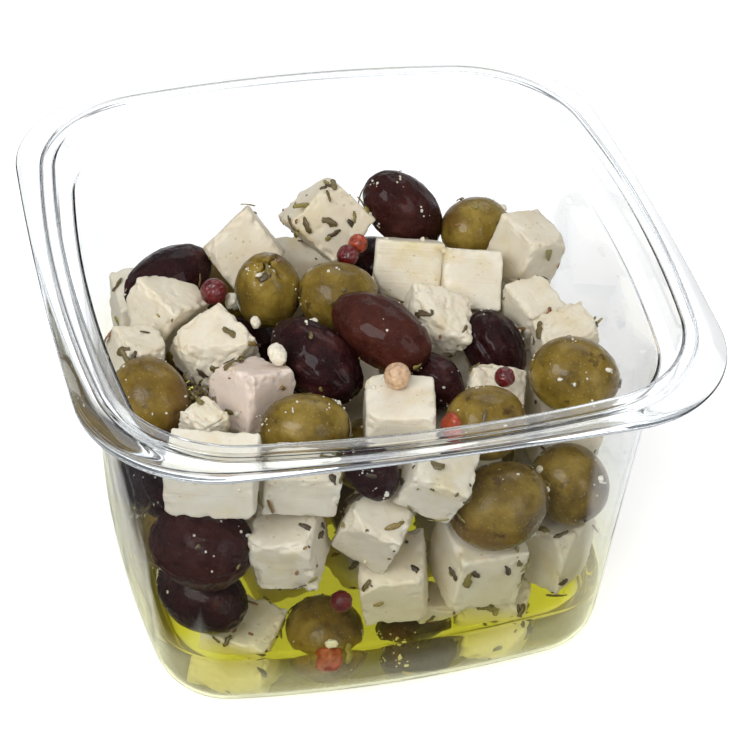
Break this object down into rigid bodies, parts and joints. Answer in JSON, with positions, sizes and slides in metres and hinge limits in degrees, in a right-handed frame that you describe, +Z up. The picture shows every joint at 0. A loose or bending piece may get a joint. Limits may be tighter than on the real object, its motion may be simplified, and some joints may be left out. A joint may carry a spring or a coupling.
{
  "type": "deli tub of marinated olives and feta",
  "caption": "Clear square deli tub with bowed sides, a raised lid bead and a cornered flange, filled with diced feta, green and kalamata olives in oil.",
  "frame": {"origin": "centre of the tub's rest face", "axes": "+Z up to the opening; the front side faces -Y"},
  "size_m": [0.1326, 0.1326, 0.086],
  "materials": {
    "tub": "clear, glossy",
    "oil": "clear yellow-green liquid",
    "feta": "moist, crumbly",
    "pink_feta": "moist, crumbly",
    "green_olive": "oily",
    "kalamata": "oily, wrinkled",
    "pimento": "oily",
    "peppercorn": "dry, rough"
  },
  "bodies": {
    "tub": {"tub": "tub", "oil": "oil"},
    "food": {"feta_01": "feta", "feta_02": "feta", "feta_03": "feta", "feta_04": "feta", "feta_05": "feta", "feta_06": "feta", "feta_07": "feta", "feta_08": "feta", "feta_09": "feta", "feta_10": "feta", "feta_11": "pink_feta", "feta_12": "feta", "feta_13": "feta", "feta_14": "feta", "feta_15": "feta", "feta_16": "feta", "feta_17": "feta", "feta_18": "feta", "feta_19": "feta", "feta_20": "feta", "feta_21": "feta", "feta_22": "feta", "feta_23": "feta", "feta_24": "feta", "feta_25": "feta", "feta_26": "feta", "green_olive_01": "green_olive", "green_olive_02": "green_olive", "green_olive_03": "green_olive", "green_olive_04": "green_olive", "green_olive_05": "green_olive", "green_olive_06": "green_olive", "green_olive_07": "green_olive", "green_olive_08": "green_olive", "green_olive_09": "green_olive", "green_olive_10": "green_olive", "kalamata_01": "kalamata", "kalamata_02": "kalamata", "kalamata_03": "kalamata", "kalamata_04": "kalamata", "kalamata_05": "kalamata", "kalamata_06": "kalamata", "kalamata_07": "kalamata", "kalamata_08": "kalamata", "kalamata_09": "kalamata", "kalamata_10": "kalamata", "kalamata_11": "kalamata", "pimento_top": "pimento", "pimento_front": "pimento", "lower_feta": "feta", "lower_green_olives": "green_olive", "lower_kalamatas": "kalamata", "peppercorns": "peppercorn"}
  },
  "joints": [
    {"name": "food_lift", "type": "slide", "parent": "tub", "child": "food", "axis": [0, 0, 1], "range_m": [0, 0.09]}
  ]
}
